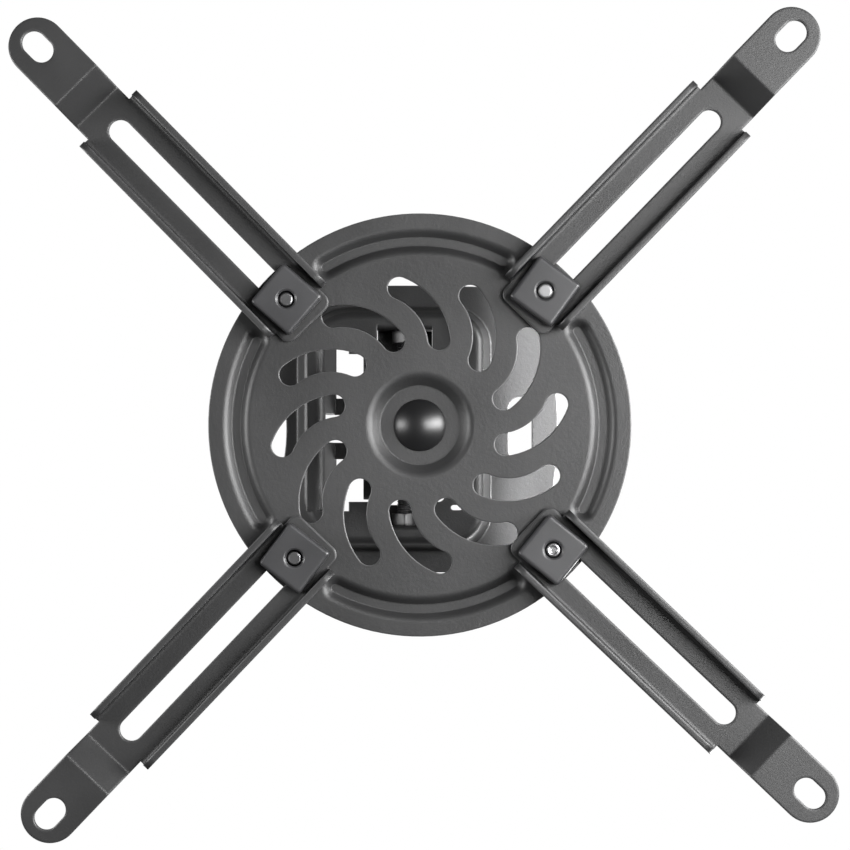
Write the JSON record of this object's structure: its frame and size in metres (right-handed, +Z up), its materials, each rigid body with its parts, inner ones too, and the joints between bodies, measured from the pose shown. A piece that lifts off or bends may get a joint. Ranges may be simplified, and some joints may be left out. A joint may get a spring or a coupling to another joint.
{
  "type": "projector ceiling mount",
  "caption": "Projector ceiling mount: pressed ceiling plate, tilting U hanger, and a swivelling round plate with slotted arms that swing and slide to the projector's screws.",
  "frame": {"origin": "middle of the rim's face that lies on the ceiling", "axes": "+Z up into the ceiling, +Y along the tilt axis, +X towards the rim's slotted side"},
  "size_m": [0.2476, 0.2493, 0.069],
  "materials": {
    "powder_coat": "satin",
    "black_zinc": "satin",
    "black_gloss": "gloss",
    "bright_zinc": "satin",
    "black_nylon": "matte"
  },
  "bodies": {
    "ceiling": {"ceiling_plate": "powder_coat", "pivot_bolt_1": "black_zinc", "pivot_bolt_2": "black_zinc", "pivot_nut_1": "black_zinc", "pivot_nut_2": "black_zinc", "pivot_washer_1": "black_zinc", "pivot_washer_2": "black_zinc"},
    "hanger": {"hanger": "powder_coat"},
    "spider": {"spider_plate": "powder_coat", "centre_bolt": "black_gloss", "centre_nut": "bright_zinc", "centre_washer": "bright_zinc", "centre_spring_washer": "bright_zinc", "friction_washer": "black_nylon"},
    "clamp_1": {"square_nut_1": "black_zinc", "clamp_screw_1": "bright_zinc", "clamp_washer_1": "bright_zinc"},
    "arm_1": {"arm_1": "powder_coat"},
    "clamp_2": {"square_nut_2": "black_zinc", "clamp_screw_2": "bright_zinc", "clamp_washer_2": "bright_zinc"},
    "arm_2": {"arm_2": "powder_coat"},
    "clamp_3": {"square_nut_3": "black_zinc", "clamp_screw_3": "bright_zinc", "clamp_washer_3": "bright_zinc"},
    "arm_3": {"arm_3": "powder_coat"},
    "clamp_4": {"square_nut_4": "black_zinc", "clamp_screw_4": "bright_zinc", "clamp_washer_4": "bright_zinc"},
    "arm_4": {"arm_4": "powder_coat"}
  },
  "joints": [
    {"name": "tilt", "type": "hinge", "parent": "ceiling", "child": "hanger", "pos_m": [-0.0047, 0, -0.013], "axis": [0, 1, 0], "range_deg": [-15, 15]},
    {"name": "swivel", "type": "hinge", "parent": "hanger", "child": "spider", "pos_m": [0, 0, -0.052], "axis": [0, 0, 1], "continuous": true},
    {"name": "swing_1", "type": "hinge", "parent": "spider", "child": "clamp_1", "pos_m": [0.03998, 0.03755, -0.058], "axis": [0, 0, 1], "range_deg": [-43, 43]},
    {"name": "slide_1", "type": "slide", "parent": "clamp_1", "child": "arm_1", "axis": [-0.7248, -0.689, 0], "range_m": [0, 0.026]},
    {"name": "swing_2", "type": "hinge", "parent": "spider", "child": "clamp_2", "pos_m": [-0.03755, 0.03998, -0.058], "axis": [0, 0, 1], "range_deg": [-43, 43]},
    {"name": "slide_2", "type": "slide", "parent": "clamp_2", "child": "arm_2", "axis": [0.6903, -0.7236, 0], "range_m": [0, 0.026]},
    {"name": "swing_3", "type": "hinge", "parent": "spider", "child": "clamp_3", "pos_m": [-0.03998, -0.03755, -0.058], "axis": [0, 0, 1], "range_deg": [-43, 43]},
    {"name": "slide_3", "type": "slide", "parent": "clamp_3", "child": "arm_3", "axis": [0.7022, 0.712, 0], "range_m": [0, 0.026]},
    {"name": "swing_4", "type": "hinge", "parent": "spider", "child": "clamp_4", "pos_m": [0.03755, -0.03998, -0.058], "axis": [0, 0, 1], "range_deg": [-43, 43]},
    {"name": "slide_4", "type": "slide", "parent": "clamp_4", "child": "arm_4", "axis": [-0.6953, 0.7187, 0], "range_m": [0, 0.026]}
  ]
}
